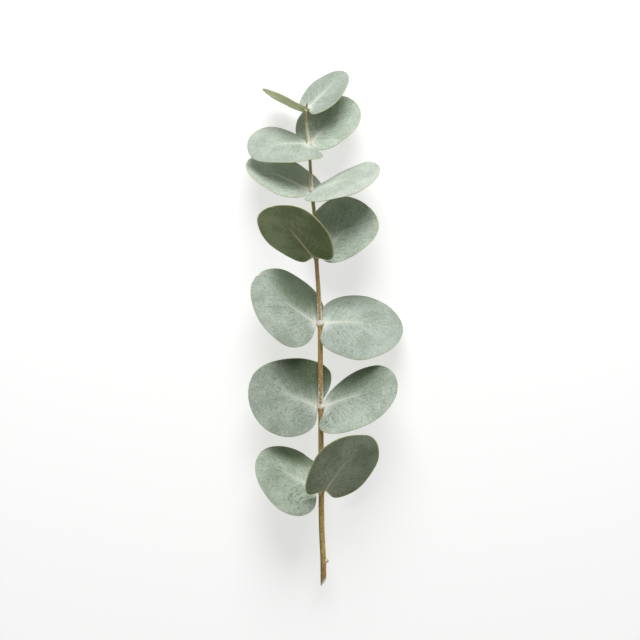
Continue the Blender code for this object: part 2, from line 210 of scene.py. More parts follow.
def turned_piece(name: str, foot: Array, turn: float, height: Array, wide: Array, deep: Array,
                 spots: Array, material: bpy.types.Material) -> bpy.types.Object:
    """Make a closed piece of rings round a level axis, with a flat cap at either end.

    A point is the foot plus its height along the axis, its width times the cosine of its angle
    sideways, and its depth times the sine of it upwards.

    Args:
        name: name of the object.
        foot: where the axis starts.
        turn: angle of the axis, in radians from the right.
        height: height of each point along the axis, one row for each ring.
        wide: half width of the ring at each point.
        deep: half depth of it.
        spots: the vector that each point carries for its material.
        material: the material.

    Returns:
        The piece as one closed mesh.
    """
    around = around_ring(wide.shape[1])
    axis = np.array([math.cos(turn), math.sin(turn), 0.0])
    side = np.array([-math.sin(turn), math.cos(turn), 0.0])
    points = (foot + height[..., None] * axis + (wide * np.cos(around))[..., None] * side
              + (deep * np.sin(around))[..., None] * np.array([0.0, 0.0, 1.0]))
    index = np.arange(wide.size).reshape(wide.shape)
    faces = grid_faces(np.concatenate([index, index[:, :1]], axis=1), True).tolist()
    faces += [index[0].tolist()[::-1], index[-1].tolist()]
    spots = np.broadcast_to(spots, points.shape).reshape(-1, 3)
    return make_object(name, points.reshape(-1, 3), faces, [0] * len(faces), [material],
                       {STEM_SPOT: spots})


class Shader:
    """A node material under construction, with short calls for the nodes it uses."""

    def __init__(self, name: str) -> None:
        """Start a material with a Principled shader.

        Args:
            name: name of the material.
        """
        self.material = bpy.data.materials.new(name)
        self.material.use_nodes = True
        self.nodes = self.material.node_tree.nodes
        self.links = self.material.node_tree.links
        self.surface = self.nodes["Principled BSDF"]

    def feed(self, socket: bpy.types.NodeSocket, value: object) -> None:
        """Link an output to a socket, or set the socket to a plain value.

        Args:
            socket: the input to feed.
            value: an output, or a number, vector or colour.
        """
        if isinstance(value, bpy.types.NodeSocket):
            self.links.new(value, socket)
        else:
            socket.default_value = value

    def math(self, operation: str, *values: object, clamp: bool = False
             ) -> bpy.types.NodeSocket:
        """A Math node.

        Args:
            operation: the node's operation.
            values: its one to three inputs, as outputs or numbers.
            clamp: keep the result between 0 and 1.

        Returns:
            The node's output.
        """
        node = self.nodes.new("ShaderNodeMath")
        node.operation = operation
        node.use_clamp = clamp
        for socket, value in zip(node.inputs, values):
            self.feed(socket, value)
        return node.outputs[0]

    def times(self, first: object, second: object) -> bpy.types.NodeSocket:
        """The product of two outputs or numbers."""
        return self.math("MULTIPLY", first, second)

    def ramp(self, value: object, low: float, high: float, start: float = 0.0,
             end: float = 1.0) -> bpy.types.NodeSocket:
        """A smooth step: start where the value is low, end where it is high.

        Args:
            value: the output to read.
            low: value at which the step begins.
            high: value at which it is over.
            start: result before the step.
            end: result after it.

        Returns:
            The node's output.
        """
        node = self.nodes.new("ShaderNodeMapRange")
        node.interpolation_type = "SMOOTHSTEP"
        for socket, entry in zip(node.inputs, (value, low, high, start, end)):
            self.feed(socket, entry)
        return node.outputs[0]

    def mix(self, factor: object, first: object, second: object) -> bpy.types.NodeSocket:
        """A colour mix.

        Args:
            factor: share of the second colour.
            first: an output, or a display colour.
            second: an output, or a display colour.

        Returns:
            The mixed colour.
        """
        node = self.nodes.new("ShaderNodeMix")
        node.data_type = "RGBA"
        self.feed(node.inputs["Factor"], factor)
        for socket, colour in ((node.inputs["A"], first), (node.inputs["B"], second)):
            plain = isinstance(colour, tuple)
            self.feed(socket, linear(colour) if plain else colour)
        return node.outputs["Result"]

    def noise(self, vector: object, scale: float, detail: float = 3.0, rough: float = 0.55
              ) -> bpy.types.NodeSocket:
        """Fractal noise between 0 and 1.

        Args:
            vector: where to read it.
            scale: waves for each unit of the vector.
            detail: number of finer layers.
            rough: share of each finer layer.

        Returns:
            The noise's value.
        """
        node = self.nodes.new("ShaderNodeTexNoise")
        self.feed(node.inputs["Vector"], vector)
        self.feed(node.inputs["Scale"], scale)
        self.feed(node.inputs["Detail"], detail)
        self.feed(node.inputs["Roughness"], rough)
        return node.outputs[0]

    def joined(self, x: object, y: object, z: object = 0.0) -> bpy.types.NodeSocket:
        """A vector made of three numbers or outputs.

        Args:
            x: its first part.
            y: its second part.
            z: its third part.

        Returns:
            The vector.
        """
        node = self.nodes.new("ShaderNodeCombineXYZ")
        for socket, value in zip(node.inputs, (x, y, z)):
            self.feed(socket, value)
        return node.outputs[0]

    def spots(self, attribute: str) -> tuple[bpy.types.NodeSocket, ...]:
        """The three parts of a vertex vector of the mesh.

        Args:
            attribute: name of the vector.

        Returns:
            One output for each part.
        """
        node = self.nodes.new("ShaderNodeAttribute")
        node.attribute_name = attribute
        split = self.nodes.new("ShaderNodeSeparateXYZ")
        self.links.new(node.outputs["Vector"], split.inputs[0])
        return tuple(split.outputs)

    def place(self) -> bpy.types.NodeSocket:
        """Object coordinates, in metres."""
        return self.nodes.new("ShaderNodeTexCoord").outputs["Object"]

    def finish(self, colour: object, roughness: object, height: object, depth: float,
               strength: float, specular: float) -> bpy.types.Material:
        """Set the shader's colour, roughness and bump.

        Args:
            colour: base colour.
            roughness: roughness of the surface.
            height: height of the bumps, 0 to 1.
            depth: their real height in metres.
            strength: strength of the bump node.
            specular: strength of the gloss.

        Returns:
            The finished material.
        """
        bump = self.nodes.new("ShaderNodeBump")
        bump.inputs["Strength"].default_value = strength
        bump.inputs["Distance"].default_value = depth
        self.feed(bump.inputs["Height"], height)
        self.links.new(bump.outputs[0], self.surface.inputs["Normal"])
        self.feed(self.surface.inputs["Base Color"], colour)
        self.feed(self.surface.inputs["Roughness"], roughness)
        self.surface.inputs["Specular IOR Level"].default_value = specular
        return self.material


class BladeShader(Shader):
    """A leaf's material under construction, with the places that its mesh carries."""

    def __init__(self, name: str) -> None:
        """Start the material and read the mesh's vectors.

        Args:
            name: name of the material.
        """
        super().__init__(name)
        self.along, self.across, self.inwards = self.spots(BLADE_SPOT)
        self.start, self.out = self.spots(VEIN_SPOT)[:2]
        self.point = self.place()

    def near(self, place: tuple[float, float], size: float) -> bpy.types.NodeSocket:
        """A soft round patch of the blade.

        Args:
            place: middle of the patch, along the midrib and across it.
            size: its radius.

        Returns:
            1 near its middle, falling to 0 at its radius.
        """
        off_x = self.math("POWER", self.math("SUBTRACT", self.along, place[0]), 2.0)
        off_y = self.math("POWER", self.math("SUBTRACT", self.across, place[1]), 2.0)
        return self.ramp(self.math("SQRT", self.math("ADD", off_x, off_y)), size, 0.3 * size)

    def on_veins(self, close: float, far: float, layer: float, detail: float, rough: float
                 ) -> bpy.types.NodeSocket:
        """Noise that is drawn out along the side veins.

        Args:
            close: waves for each millimetre from vein to vein.
            far: waves for each millimetre along a vein.
            layer: depth of the noise, so that each use of it has its own.
            detail: number of finer layers.
            rough: share of each finer layer.

        Returns:
            The noise's value.
        """
        where = self.joined(self.times(self.start, close), self.times(self.out, far), layer)
        return self.noise(where, 1.0, detail, rough)


@dataclass(frozen=True)
class BladeFinish:
    """Waxy skin of a leaf: bloom, veins, a patch of thinner wax and painted shade, rubbed spots,
    midrib, margin.

    A soft darker patch round one place of the blade is partly thinner wax and partly painted
    shade, and the wax is rubbed off in spots round another; both are given along the midrib and
    across it.
    """
    bloom: Colour = (188, 199, 187)
    green: Colour = (154, 167, 150)
    streak: Colour = (98, 115, 88)
    pale: Colour = (202, 210, 204)
    rib: Colour = (206, 214, 190)
    rib_base: Colour = (232, 228, 210)
    rib_fleck: Colour = (160, 142, 104)
    margin: Colour = (190, 190, 152)
    glow: Colour = (232, 236, 231)
    glow_share: float = 0.82
    cloud_share: float = 0.35
    streak_share: float = 0.5
    pale_share: float = 0.32
    speck_share: float = 0.45
    # colour of a soft darker patch: partly thinner wax, partly painted shade
    bare: Colour = (104, 123, 88)
    bare_and_shade_at: tuple[float, float] = (14.0, 19.0)
    bare_and_shade_size: float = 15.0
    bare_and_shade_share: float = 0.0
    rib_width: float = 0.45
    rib_share: float = 0.95
    rib_end: float = 29.0
    margin_width: float = 0.34
    rubbed_at: tuple[float, float] = (12.0, -12.0)
    rubbed_size: float = 7.0
    rubbed_share: float = 0.0
    roughness: float = 0.6

    def ground(self, s: BladeShader) -> bpy.types.NodeSocket:
        """Mix the colour of the bloom: wide soft clouds under a fine grain.

        Args:
            s: the material's nodes.

        Returns:
            The colour.
        """
        clouds = s.noise(s.point, CLOUDS, 2.0, 0.5)
        grain = s.noise(s.point, GRAIN, 4.0, 0.8)
        share = s.math("MULTIPLY_ADD", clouds, self.cloud_share,
                       s.times(grain, 1.0 - self.cloud_share))
        return s.mix(s.ramp(share, 0.44, 0.56), self.bloom, self.green)

    def veined(self, s: BladeShader, colour: bpy.types.NodeSocket
               ) -> tuple[bpy.types.NodeSocket, bpy.types.NodeSocket]:
        """Draw the fine side veins.

        The dark ones are the lines along which a slow noise, drawn out along the veins, is a
        half, and another noise breaks them into strokes. The pale ones are the ridges of a
        finer noise. Both fade with the distance out from the midrib.

        Args:
            s: the material's nodes.
            colour: colour of the bloom.

        Returns:
            The new colour, and the height of the veins.
        """
        broken = s.on_veins(0.9, 0.35, 0.0, 2.0, 0.5)
        course = s.on_veins(0.85, 0.035, 4.0, 2.0, 0.5)
        off_line = s.math("ABSOLUTE", s.math("SUBTRACT", course, 0.5))
        dark = s.times(s.ramp(off_line, 0.045, 0.008), s.ramp(broken, 0.44, 0.58))
        dark = s.times(dark, s.ramp(s.out, 20.0, 6.0, 0.35, 1.0))
        colour = s.mix(s.times(dark, self.streak_share), colour, self.streak)
        lines = s.on_veins(2.1, 0.06, 7.0, 3.0, 0.7)
        pale = s.times(s.ramp(lines, 0.52, 0.64), s.ramp(s.out, 16.0, 2.0, 0.25, 1.0))
        colour = s.mix(s.times(pale, self.pale_share), colour, self.pale)
        return colour, s.math("SUBTRACT", lines, s.times(dark, 0.6))

    def rubbed(self, s: BladeShader, colour: bpy.types.NodeSocket) -> bpy.types.NodeSocket:
        """Darken softly round one place, partly thinner wax and partly painted shade; scatter
        green specks, and rub the wax off in larger spots.

        Args:
            s: the material's nodes.
            colour: colour so far.

        Returns:
            The new colour.
        """
        # a soft darker patch: partly thinner wax, partly painted shade
        if self.bare_and_shade_share > 0.0:
            tone = s.noise(s.point, 1000.0, 4.0, 0.8)
            bare_and_shade = s.times(s.near(self.bare_and_shade_at, self.bare_and_shade_size),
                           s.ramp(tone, 0.35, 0.65, 0.78, 1.0))
            colour = s.mix(s.times(bare_and_shade, self.bare_and_shade_share), colour, self.bare)
        speck = s.ramp(s.noise(s.point, SPECKS, 2.0, 0.6), 0.64, 0.69)
        colour = s.mix(s.times(speck, self.speck_share), colour, self.streak)
        if self.rubbed_share == 0.0:
            return colour
        scuff = s.ramp(s.noise(s.point, SCUFFS, 4.0, 0.65), 0.53, 0.60)
        worn = s.times(s.near(self.rubbed_at, self.rubbed_size), scuff)
        return s.mix(s.times(worn, self.rubbed_share), colour, self.streak)

    def powdered(self, s: BladeShader, colour: bpy.types.NodeSocket) -> bpy.types.NodeSocket:
        """Lay white powder round the base and beside the midrib, in rays along the veins.

        Args:
            s: the material's nodes.
            colour: colour so far.

        Returns:
            The new colour.
        """
        rays = s.noise(s.joined(s.times(s.start, 1.9), 3.0), 1.0, 2.0, 0.6)
        reach = s.math("SQRT", s.math("ADD", s.math("POWER", s.along, 2.0),
                                      s.math("POWER", s.across, 2.0)))
        reach = s.math("MULTIPLY_ADD", rays, 9.0, reach)
        core = s.ramp(s.math("MULTIPLY_ADD", rays, -2.5, reach), 7.5, 5.0)
        powder = s.math("MAXIMUM", core, s.ramp(reach, 11.0, 4.5))
        aside = s.math("MULTIPLY_ADD", rays, 3.0, s.math("ABSOLUTE", s.across))
        beside = s.times(s.ramp(aside, 4.6, 1.4), s.ramp(s.along, 22.0, 2.0))
        dusty = s.math("MAXIMUM", powder, s.times(beside, 0.62))
        return s.mix(s.times(dusty, self.glow_share), colour, self.glow)

    def ribbed(self, s: BladeShader, colour: bpy.types.NodeSocket) -> bpy.types.NodeSocket:
        """Draw the midrib: cream at the base, flecked, and thinner and greener to the tip.

        Args:
            s: the material's nodes.
            colour: colour so far.

        Returns:
            The new colour.
        """
        aside = s.math("ABSOLUTE", s.across)
        ragged = s.math("MULTIPLY_ADD", s.noise(s.point, GRAIN, 2.0, 0.6), 1.2, 0.4)
        width = s.ramp(s.along, -1.0, self.rib_end - 1.0, self.rib_width, 0.3 * self.rib_width)
        rib = s.times(s.ramp(s.math("DIVIDE", aside, s.times(width, ragged)), 1.1, 0.7),
                      s.ramp(s.along, self.rib_end, 15.0, 0.08, self.rib_share))
        line = s.noise(s.joined(s.times(s.along, 1.1), s.times(s.across, 2.5)), 1.0, 2.0)
        fleck = s.times(s.ramp(line, 0.52, 0.62, 0.0, 0.5), s.ramp(aside, 0.40, 0.15))
        cream = s.mix(s.ramp(s.along, 2.0, 9.0), self.rib_base, self.rib)
        return s.mix(rib, colour, s.mix(fleck, cream, self.rib_fleck))

    def material(self, name: str) -> bpy.types.Material:
        """Make the finish as a material.

        Args:
            name: name of the material.

        Returns:
            The material, which reads the blade's own vectors and Object coordinates.
        """
        s = BladeShader(name)
        colour, veins = self.veined(s, self.ground(s))
        colour = self.ribbed(s, self.powdered(s, self.rubbed(s, colour)))
        ragged = s.math("MULTIPLY_ADD", s.noise(s.point, 800.0, 3.0), 1.1, 0.35)
        edge = s.math("DIVIDE", s.inwards, s.times(ragged, self.margin_width))
        colour = s.mix(s.ramp(edge, 1.35, 0.5, 0.0, 0.85), colour, self.margin)
        powder = s.noise(s.point, POWDER, 3.0, 0.7)
        height = s.math("MULTIPLY_ADD", powder, 0.30, s.times(veins, 0.6))
        rough = s.math("MULTIPLY_ADD", powder, 0.12, self.roughness - 0.06)
        return s.finish(colour, rough, height, 0.00012, 0.35, 0.4)


# The undersides' margin is paler and twice as wide as above: partly the margin's own colour,
# partly a painted highlight where light catches the leaf's edge.
UNDERSIDE = BladeFinish(
    bloom=(152, 165, 117), green=(120, 137, 87), streak=(86, 103, 60), pale=(170, 178, 138),
    rib=(222, 212, 164), rib_base=(222, 212, 164), rib_fleck=(176, 158, 112),
    margin=(218, 214, 162), glow=(186, 180, 138), glow_share=0.35, cloud_share=0.45,
    streak_share=0.55, pale_share=0.45, speck_share=0.5, rib_width=0.75, margin_width=0.7,
    roughness=0.62)
DULL_UNDERSIDE = replace(UNDERSIDE, bloom=(162, 175, 146), green=(130, 144, 110),
                         streak=(100, 112, 78), pale=(202, 206, 178), pale_share=0.55,
                         rib=(206, 216, 176), rib_base=(226, 226, 186),
                         rib_fleck=(178, 172, 122), margin=(204, 214, 148))
FRESH_UNDERSIDE = replace(UNDERSIDE, bloom=(214, 226, 174), green=(190, 206, 148),
                          streak=(140, 158, 100))
OLD = BladeFinish(bloom=(183, 194, 181), green=(150, 163, 146))
GROWN = BladeFinish()
PALE = BladeFinish(bloom=(178, 190, 179), green=(151, 164, 149), streak=(108, 125, 98),
                   glow_share=0.65)
YOUNG = BladeFinish(bloom=(173, 183, 172), green=(151, 163, 149), streak=(114, 130, 105),
                    pale=(196, 204, 196), glow_share=0.6, rib_share=0.5, speck_share=0.25,
                    streak_share=0.4)


@dataclass(frozen=True)
class BarkFinish:
    """Young bark: olive and pinkish brown, fine long grain, pale bloom at the nodes, painted shade
    low on the left.
    """
    low: Colour = (241, 212, 126)
    middle: Colour = (182, 152, 96)
    high: Colour = (216, 205, 142)
    grain: Colour = (96, 76, 36)
    rust: Colour = (166, 122, 74)
    fleck: Colour = (218, 200, 164)
    collar: Colour = (232, 229, 216)
    to_middle: tuple[float, float] = (-95.0, -60.0)    # along the stem, from low to middle
    to_high: tuple[float, float] = (30.0, 60.0)        # and from there to high
    to_cut: tuple[float, float] = (-116.0, -119.5)     # rust comes in at the cut end
    # painted shade: the stem's left side is darkened below the first node
    left_shade_along: tuple[float, float] = (-76.0, -88.0)    # the left side darkens below the first node
    left_shade_round: tuple[float, float] = (-0.15, -0.8)
    left_shade_share: float = 0.75
    grain_round: float = 5.0       # turns the cosine round the stem into the grain's own units
    roughness: float = 0.6

    def material(self) -> bpy.types.Material:
        """Make the bark as a material.

        Returns:
            The material, which reads the stem's own vector and Object coordinates.
        """
        s = Shader("stem_bark_finish")
        along, rightwards, collar = s.spots(STEM_SPOT)
        place = s.place()
        colour = s.mix(s.ramp(along, *self.to_middle), self.low, self.middle)
        colour = s.mix(s.ramp(along, *self.to_high), colour, self.high)
        colour = s.mix(s.ramp(along, *self.to_cut, 0.0, 0.45), colour, self.rust)
        square = s.times(rightwards, rightwards)
        upwards = s.math("SQRT", s.math("SUBTRACT", 1.0, square))
        round_x = s.times(rightwards, self.grain_round)
        round_y = s.times(upwards, self.grain_round)
        fibre = s.noise(s.joined(round_x, round_y, s.times(along, 0.35)), 1.0, 5.0, 0.7)
        patchy = s.noise(s.joined(round_x, round_y, s.times(along, 1.1)), 0.45, 3.0)
        colour = s.mix(s.ramp(patchy, 0.45, 0.62, 0.0, 0.6), colour, self.rust)
        colour = s.mix(s.ramp(fibre, 0.46, 0.68, 0.0, 0.75), colour, self.grain)
        # painted shade down the stem's left side, below the first node
        left_shade = s.times(s.ramp(rightwards, *self.left_shade_round), s.ramp(along, *self.left_shade_along))
        colour = s.mix(s.times(left_shade, self.left_shade_share), colour, self.grain)
        tone = s.noise(place, 260.0, 3.0, 0.6)
        colour = s.mix(s.ramp(tone, 0.55, 0.75, 0.0, 0.5), colour, self.grain)
        dots = s.ramp(s.noise(place, 1500.0, 2.0, 0.5), 0.60, 0.70, 0.0, 0.75)
        colour = s.mix(dots, colour, self.fleck)
        powder = s.math("MULTIPLY_ADD", s.noise(place, 900.0, 3.0, 0.7), 1.9, -0.95)
        worn = s.ramp(s.math("ADD", collar, powder), 0.34, 0.72, 0.0, 0.92)
        colour = s.mix(worn, colour, self.collar)
        height = s.math("MULTIPLY_ADD", fibre, 0.7, s.times(dots, 0.3))
        return s.finish(colour, self.roughness, height, 0.00016, 0.6, 0.35)


@dataclass(frozen=True)
class WoodFinish:
    """Bare wood of a cut or of a torn stub: pale, with a darker ring and fine pores."""
    name: str
    pale: Colour = (252, 244, 218)
    dark: Colour = (216, 196, 152)
    ring: Colour = (176, 152, 100)

    def material(self) -> bpy.types.Material:
        """Make the wood as a material.

        Returns:
            The material, which reads the piece's own vector and Object coordinates.
        """
        s = Shader(self.name)
        out = s.spots(STEM_SPOT)[0]
        place = s.place()
        pores = s.noise(place, 2400.0, 3.0, 0.7)
        colour = s.mix(s.ramp(pores, 0.42, 0.66), self.pale, self.dark)
        colour = s.mix(s.ramp(out, 0.80, 0.97, 0.0, 0.8), colour, self.ring)
        colour = s.mix(s.ramp(out, 0.26, 0.12, 0.0, 0.6), colour, self.dark)
        return s.finish(colour, 0.75, pores, 0.0001, 0.5, 0.2)


@dataclass(frozen=True)
class BudFinish:
    """Brown of the closed bud, redder towards its tip."""
    low: Colour = (132, 118, 78)
    tip: Colour = (118, 78, 56)
    fleck: Colour = (184, 170, 140)

    def material(self) -> bpy.types.Material:
        """Make the bud's skin as a material.

        Returns:
            The material, which reads the bud's own vector and Object coordinates.
        """
        s = Shader("bud_scale_finish")
        along = s.spots(STEM_SPOT)[0]
        grain = s.noise(s.place(), 1800.0, 3.0, 0.6)
        colour = s.mix(s.ramp(along, 0.1, 0.7), self.low, self.tip)
        colour = s.mix(s.ramp(grain, 0.5, 0.7, 0.0, 0.25), colour, self.fleck)
        return s.finish(colour, 0.6, grain, 0.00006, 0.5, 0.35)


@dataclass(frozen=True)
class StemLine:
    """Centre line of the stem from the cut end to the tip: x, y, z and bare radius."""
    rows: tuple[tuple[float, float, float, float], ...] = (
        (-0.75, -128.0, 10.5, 1.45),
        (-0.9, -117.0, 12.3, 1.42),
        (-1.5, -104.5, 14.0, 1.38),
        (-1.9, -81.5, 16.2, 1.38),
        (-2.0, -61.5, 16.8, 1.32),
        (-2.05, -40.0, 16.8, 1.32),
        (-2.3, -18.5, 16.3, 1.25),
        (-2.5, 1.5, 15.7, 1.18),
        (-3.3, 18.5, 15.2, 1.05),
        (-4.4, 35.0, 14.9, 1.00),
        (-5.0, 52.5, 14.4, 0.92),
        (-6.6, 68.5, 13.9, 0.88),
        (-7.4, 81.5, 13.7, 0.78),
        (-8.0, 91.5, 13.7, 0.72),
        (-9.4, 102.5, 13.9, 0.62),
        (-9.6, 109.3, 14.1, 0.55),
    )
    first_node_row: int = 3
    node_step: int = 2
    node_count: int = 7
    node_swell: float = 0.30
    node_reach: float = 1.5
    bud_length: float = 3.2

    def at(self, along: Array) -> tuple[Array, Array]:
        """Centre and bare radius at lengths along +Y.

        Between two rows the curve is a cubic that keeps the slopes at both rows; past either
        end it goes straight on.

        Args:
            along: lengths along +Y.

        Returns:
            Points of the centre line, and the radius at each.
        """
        table = np.array(self.rows)
        y = table[:, 1]
        slopes = np.gradient(table, y, axis=0)
        along = np.asarray(along, float)
        row = np.clip(np.searchsorted(y, along) - 1, 0, len(y) - 2)
        span = (y[row + 1] - y[row])[..., None]
        inside = np.clip(along, y[0], y[-1])
        t = (inside - y[row])[..., None] / span
        point = ((2 * t**3 - 3 * t**2 + 1) * table[row]
                 + (t**3 - 2 * t**2 + t) * span * slopes[row]
                 + (3 * t**2 - 2 * t**3) * table[row + 1]
                 + (t**3 - t**2) * span * slopes[row + 1])
        past = (along - inside)[..., None]
        end_slope = np.where(past > 0, slopes[-1], slopes[0]) * np.array([1.0, 1.0, 1.0, 0.0])
        point = point + past * end_slope
        return point[..., :3], point[..., 3]

    def direction(self, along: Array) -> Array:
        """Unit direction towards the tip at lengths along +Y."""
        along = np.asarray(along, float)
        return unit(self.at(along + 0.5)[0] - self.at(along - 0.5)[0])

    def node_along(self, node: int) -> float:
        """Length along +Y of a node, counted from 1 at the cut end."""
        return self.rows[self.first_node_row + self.node_step * (node - 1)][1]

    def radius(self, along: Array) -> Array:
        """Radius with the bell-shaped swelling at each node.

        Args:
            along: lengths along +Y.

        Returns:
            The radius at each.
        """
        nodes = range(1, self.node_count + 1)
        swell = sum(bell(along, self.node_along(n), self.node_reach) for n in nodes)
        return self.at(along)[1] * (1.0 + self.node_swell * swell)

    def push_clear(self, points: Array, thickness: Array) -> Array:
        """Move points of a blade away from the stem's axis where they come too near it.

        The new distance is the sixth root of the old one and the needed one, each to the power
        of six and added, so it stays as it was well away from the stem.

        Args:
            points: points of a blade's middle surface, one to a row.
            thickness: thickness of the blade at each.

        Returns:
            The moved points.
        """
        centre, _ = self.at(points[:, 1])
        axis = self.direction(points[:, 1])
        out = points - centre
        out = out - np.sum(out * axis, axis=1, keepdims=True) * axis
        distance = np.maximum(np.linalg.norm(out, axis=1), 1e-6)
        need = self.radius(points[:, 1]) + GAP + 0.5 * thickness + CLASP_MARGIN
        pushed = (distance**CLASP_BLEND + need**CLASP_BLEND) ** (1.0 / CLASP_BLEND)
        beyond_tip = points[:, 1] > self.rows[-1][1] + self.bud_length
        pushed = np.where(beyond_tip, distance, pushed)
        return points + out * ((pushed - distance) / distance)[:, None]


@dataclass(frozen=True)
class Blade:
    """One leaf: where it grows, how it is turned, its outline, its bends and its skin.

    In the leaf's own frame the midrib runs along x, y points across towards the stem's tip,
    and z is the upper face. The "up" half of the blade is the one with positive y.
    """
    node: int
    side: int              # 1 on the right of the stem, -1 on the left
    angle: float           # midrib above the sideways direction, towards the stem's tip
    lift: float            # midrib raised from the surface
    tilt: float            # upper face turned towards the stem's tip
    length: float
    width: float
    lobe_up: float         # how far each half reaches back past the base
    lobe_down: float
    around: float = 0.0    # place of the base round the stem, from the side upwards
    droop: float = 0.0     # midrib bends away from the upper face by this much at its tip
    sweep: float = 0.0     # midrib bends sideways, towards the up half
    twist: float = 0.0     # blade turned about its midrib at the tip
    crease: float = 0.0    # both halves raised at the midrib
    curl_up: float = 0.0   # the up half curls towards the upper face
    curl_down: float = 0.0
    fade: float = 0.6      # share of crease and curl that is gone at the tip
    lean_up: float = 0.0   # widest part of a half moved towards the tip
    lean_down: float = 0.0
    wave: float = 0.3      # height of the margin's waves
    wave_start: float = 0.0
    skew: float = 0.0      # share by which the up half is narrower and the other one wider
    nick: float = 0.0      # depth of a small nick beside the tip
    upper: BladeFinish = BladeFinish()
    under: BladeFinish = UNDERSIDE
    outline_ripple: float = 0.006    # unevenness of the margin, as a share of its distance
    rows: int = 104        # grid from base to tip
    columns: int = 82      # grid from margin to margin
    thickness: float = 0.42
    edge_radius: float = 0.30
    rib_height: float = 0.34     # ridge below the midrib
    rib_sunk: float = 0.06       # groove above it
    rib_spread: float = 0.55
    vein_height: float = 0.02
    cockle: float = 0.05         # slow unevenness of both faces

    @property
    def name(self) -> str:
        """Name of the leaf's node."""
        return f"leaf_{self.node}_{'right' if self.side > 0 else 'left'}"

    def frame(self, stem: StemLine) -> tuple[Array, Array, Array, Array]:
        """Base point of the leaf and its midrib, across and face directions.

        Args:
            stem: the stem that the leaf grows from.

        Returns:
            The point, and three unit directions.
        """
        angle, lift, tilt = (math.radians(a) for a in (self.angle, self.lift, self.tilt))
        level = np.array([self.side * math.cos(angle), math.sin(angle), 0.0])
        across_level = np.array([-self.side * math.sin(angle), math.cos(angle), 0.0])
        upright = np.array([0.0, 0.0, 1.0])
        midrib = math.cos(lift) * level + math.sin(lift) * upright
        raised = -math.sin(lift) * level + math.cos(lift) * upright
        across = math.cos(tilt) * across_level - math.sin(tilt) * raised
        face = math.sin(tilt) * across_level + math.cos(tilt) * raised
        along = stem.node_along(self.node)
        centre, _ = stem.at(along)
        axis = stem.direction(along)
        around = math.radians(self.around)
        out = np.array([self.side * math.cos(around), 0.0, math.sin(around)])
        out = unit(out - out.dot(axis) * axis)
        return centre + out * (stem.radius(along) + GAP), midrib, across, face

    def half_width(self, half: Array) -> Array:
        """Greatest width of the up half, where half is 1, or of the other, where it is -1."""
        return 0.5 * self.width * (1.0 - self.skew * half)

    def margin(self, turn: Array, half: Array) -> tuple[Array, Array]:
        """Outline in the flat.

        Each half is part of an ellipse, longer behind its widest point where the lobe reaches
        back past the base. A bell-shaped notch brings it in to the base, and a small one
        beside the tip is the nick.

        Args:
            turn: angle along the outline, from pi at the base to 0 at the tip.
            half: 1 for the up half, -1 for the other.

        Returns:
            Distance along the midrib and distance across it.
        """
        lobe = np.where(half > 0, self.lobe_up, self.lobe_down)
        lean = np.where(half > 0, self.lean_up, self.lean_down)
        widest = 0.5 * (self.length - 0.5 * (self.lobe_up + self.lobe_down))
        reach = np.where(np.cos(turn) > 0, self.length - widest, widest + lobe)
        x = widest + reach * np.cos(turn) + lobe * bell(turn, math.pi, NOTCH)
        across = np.sin(turn) * (1.0 - EGG * np.cos(turn))
        x = x - self.nick * bell(turn, *NICK_SPOT) * (half > 0)
        uneven = ripple(7.0 * turn, 4.0 * half, 2.0 * self.node + self.side) * np.sin(turn)
        across = across * (1.0 + self.outline_ripple * uneven)
        return x + lean * across**2, half * self.half_width(half) * across

    def section(self, x: Array, y: Array) -> tuple[Array, Array]:
        """Bend the flat blade across: each half is an arc that starts at the crease angle.

        Args:
            x: flat distance along the midrib.
            y: flat distance across it.

        Returns:
            Distance across and height over the midrib.
        """
        widest = self.half_width(np.where(y > 0, 1.0, -1.0))
        share = np.abs(y) / widest
        strength = 1.0 - self.fade * np.clip(x / self.length, -0.1, 1.0)
        start = np.radians(self.crease) * strength
        curl = np.radians(np.where(y > 0, self.curl_up, self.curl_down)) * strength
        rate = curl / widest
        forwards, aside = arc_along(rate, np.abs(y)), arc_aside(rate, np.abs(y))
        out = np.sign(y) * (forwards * np.cos(start) - aside * np.sin(start))
        height = forwards * np.sin(start) + aside * np.cos(start)
        turns = 2.0 * math.pi * MARGIN_WAVES * x / self.length
        wave = np.sin(turns + self.wave_start + UP_PHASE * (y > 0))
        height = height + self.wave * wave * share**2
        twist = np.radians(self.twist) * x / self.length
        return (out * np.cos(twist) - height * np.sin(twist),
                out * np.sin(twist) + height * np.cos(twist))

    def surface(self, x: Array, y: Array) -> Array:
        """Points of the bent blade in the leaf's frame.

        The midrib is an arc that droops and sweeps at an even rate, and the section at x
        stands square to it.

        Args:
            x: flat distance along the midrib.
            y: flat distance across it.

        Returns:
            Points, with the same shape and one more axis.
        """
        droop = np.radians(self.droop) / self.length
        sweep = np.radians(self.sweep) / self.length
        spine = np.stack(
            [0.5 * (arc_along(droop - sweep, x) + arc_along(droop + sweep, x)),
             arc_aside(sweep, x),
             -0.5 * (arc_aside(droop + sweep, x) + arc_aside(droop - sweep, x))], -1)
        d, s = droop * x, sweep * x
        side = np.stack([-np.sin(s) * np.cos(d), np.cos(s), np.sin(s) * np.sin(d)], -1)
        top = np.stack([np.sin(d), np.zeros_like(d), np.cos(d)], -1)
        out, height = self.section(x, y)
        return spine + out[..., None] * side + height[..., None] * top

